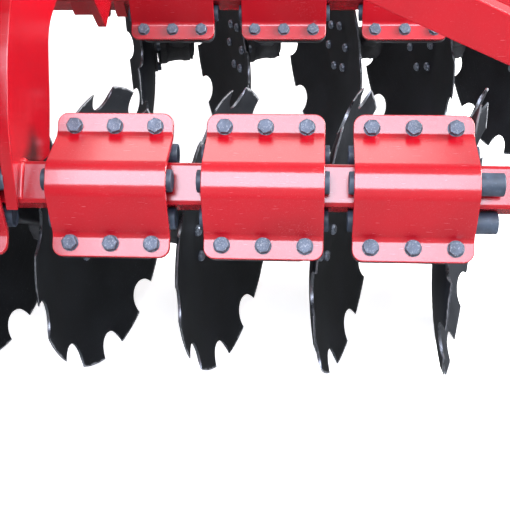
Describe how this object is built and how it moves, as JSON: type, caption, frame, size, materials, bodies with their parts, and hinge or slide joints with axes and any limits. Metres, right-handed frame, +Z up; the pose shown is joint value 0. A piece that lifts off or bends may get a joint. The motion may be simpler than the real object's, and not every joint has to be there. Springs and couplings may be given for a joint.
{
  "type": "trailed compact disc harrow",
  "caption": "Trailed compact disc harrow with two rows of notched discs on rubber-sprung arms, clamped to square beams, with a cage roller and drawbar.",
  "frame": {"origin": "centre of the machine's footprint on the ground it stands on", "axes": "the machine travels towards -Y, +Z is up, +X is along the beams"},
  "size_m": [2.84, 3.699, 1.2375],
  "materials": {
    "frame_red": "gloss paint",
    "clamp_red": "gloss paint on pressed plate",
    "disc_steel": "gloss black paint, bright worn rim",
    "arm_black": "black paint on forging",
    "roller_paint": "gloss paint, worn bars",
    "stand_paint": "gloss paint",
    "rubber": "matte blue-grey rubber",
    "bolt_zinc": "zinc plated"
  },
  "bodies": {
    "frame": {"front_beam": "frame_red", "rear_beam": "frame_red", "arch_plate_left": "frame_red", "arch_plate_right": "frame_red", "mast": "frame_red", "brace_left": "frame_red", "brace_right": "frame_red", "drawbar": "frame_red", "roller_frame": "frame_red", "front_clamp_plate_1": "clamp_red", "front_arm_1": "arm_black", "front_clamp_plate_2": "clamp_red", "front_arm_2": "arm_black", "front_clamp_plate_3": "clamp_red", "front_arm_3": "arm_black", "front_clamp_plate_4": "clamp_red", "front_arm_4": "arm_black", "front_clamp_plate_5": "clamp_red", "front_arm_5": "arm_black", "front_clamp_plate_6": "clamp_red", "front_arm_6": "arm_black", "front_clamp_plate_7": "clamp_red", "front_arm_7": "arm_black", "front_clamp_plate_8": "clamp_red", "front_arm_8": "arm_black", "rear_clamp_plate_1": "clamp_red", "rear_arm_1": "arm_black", "rear_clamp_plate_2": "clamp_red", "rear_arm_2": "arm_black", "rear_clamp_plate_3": "clamp_red", "rear_arm_3": "arm_black", "rear_clamp_plate_4": "clamp_red", "rear_arm_4": "arm_black", "rear_clamp_plate_5": "clamp_red", "rear_arm_5": "arm_black", "rear_clamp_plate_6": "clamp_red", "rear_arm_6": "arm_black", "rear_clamp_plate_7": "clamp_red", "rear_arm_7": "arm_black", "rear_clamp_plate_8": "clamp_red", "rear_arm_8": "arm_black"},
    "front_disc_1": {"front_disc_1": "disc_steel"},
    "front_disc_2": {"front_disc_2": "disc_steel"},
    "front_disc_3": {"front_disc_3": "disc_steel"},
    "front_disc_4": {"front_disc_4": "disc_steel"},
    "front_disc_5": {"front_disc_5": "disc_steel"},
    "front_disc_6": {"front_disc_6": "disc_steel"},
    "front_disc_7": {"front_disc_7": "disc_steel"},
    "front_disc_8": {"front_disc_8": "disc_steel"},
    "rear_disc_1": {"rear_disc_1": "disc_steel"},
    "rear_disc_2": {"rear_disc_2": "disc_steel"},
    "rear_disc_3": {"rear_disc_3": "disc_steel"},
    "rear_disc_4": {"rear_disc_4": "disc_steel"},
    "rear_disc_5": {"rear_disc_5": "disc_steel"},
    "rear_disc_6": {"rear_disc_6": "disc_steel"},
    "rear_disc_7": {"rear_disc_7": "disc_steel"},
    "rear_disc_8": {"rear_disc_8": "disc_steel"},
    "roller": {"roller": "roller_paint"},
    "stand": {"stand": "stand_paint"}
  },
  "joints": [
    {"name": "front_disc_1_spin", "type": "hinge", "parent": "frame", "child": "front_disc_1", "pos_m": [-0.819, -0.1805, 0.2885], "axis": [0.971, -0.2367, 0.0332], "continuous": true},
    {"name": "front_disc_2_spin", "type": "hinge", "parent": "frame", "child": "front_disc_2", "pos_m": [-0.567, -0.1805, 0.2885], "axis": [0.971, -0.2367, 0.0332], "continuous": true},
    {"name": "front_disc_3_spin", "type": "hinge", "parent": "frame", "child": "front_disc_3", "pos_m": [-0.315, -0.1805, 0.2885], "axis": [0.971, -0.2367, 0.0332], "continuous": true},
    {"name": "front_disc_4_spin", "type": "hinge", "parent": "frame", "child": "front_disc_4", "pos_m": [-0.063, -0.1805, 0.2885], "axis": [0.971, -0.2367, 0.0332], "continuous": true},
    {"name": "front_disc_5_spin", "type": "hinge", "parent": "frame", "child": "front_disc_5", "pos_m": [0.187, -0.1805, 0.2885], "axis": [0.971, -0.2367, 0.0332], "continuous": true},
    {"name": "front_disc_6_spin", "type": "hinge", "parent": "frame", "child": "front_disc_6", "pos_m": [0.439, -0.1805, 0.2885], "axis": [0.971, -0.2367, 0.0332], "continuous": true},
    {"name": "front_disc_7_spin", "type": "hinge", "parent": "frame", "child": "front_disc_7", "pos_m": [0.681, -0.1805, 0.2885], "axis": [0.971, -0.2367, 0.0332], "continuous": true},
    {"name": "front_disc_8_spin", "type": "hinge", "parent": "frame", "child": "front_disc_8", "pos_m": [0.913, -0.1805, 0.2885], "axis": [0.971, -0.2367, 0.0332], "continuous": true},
    {"name": "rear_disc_1_spin", "type": "hinge", "parent": "frame", "child": "rear_disc_1", "pos_m": [-0.967, 0.6295, 0.2885], "axis": [-0.9374, -0.3467, 0.0332], "continuous": true},
    {"name": "rear_disc_2_spin", "type": "hinge", "parent": "frame", "child": "rear_disc_2", "pos_m": [-0.707, 0.6295, 0.2885], "axis": [-0.9374, -0.3467, 0.0332], "continuous": true},
    {"name": "rear_disc_3_spin", "type": "hinge", "parent": "frame", "child": "rear_disc_3", "pos_m": [-0.447, 0.6295, 0.2885], "axis": [-0.9374, -0.3467, 0.0332], "continuous": true},
    {"name": "rear_disc_4_spin", "type": "hinge", "parent": "frame", "child": "rear_disc_4", "pos_m": [0.09, 0.6295, 0.2885], "axis": [-0.9676, -0.2502, 0.0332], "continuous": true},
    {"name": "rear_disc_5_spin", "type": "hinge", "parent": "frame", "child": "rear_disc_5", "pos_m": [0.333, 0.6295, 0.2885], "axis": [-0.9374, -0.3467, 0.0332], "continuous": true},
    {"name": "rear_disc_6_spin", "type": "hinge", "parent": "frame", "child": "rear_disc_6", "pos_m": [0.612, 0.6295, 0.2885], "axis": [-0.9374, -0.3467, 0.0332], "continuous": true},
    {"name": "rear_disc_7_spin", "type": "hinge", "parent": "frame", "child": "rear_disc_7", "pos_m": [0.838, 0.6295, 0.2885], "axis": [-0.9374, -0.3467, 0.0332], "continuous": true},
    {"name": "rear_disc_8_spin", "type": "hinge", "parent": "frame", "child": "rear_disc_8", "pos_m": [1.093, 0.6295, 0.2885], "axis": [-0.9374, -0.3467, 0.0332], "continuous": true},
    {"name": "roller_spin", "type": "hinge", "parent": "frame", "child": "roller", "pos_m": [0, 1.6655, 0.2005], "axis": [1, 0, 0], "continuous": true},
    {"name": "stand_swing", "type": "hinge", "parent": "frame", "child": "stand", "pos_m": [-0.07, -1.3745, 0.54], "axis": [1, 0, 0], "range_deg": [0, 90]}
  ]
}
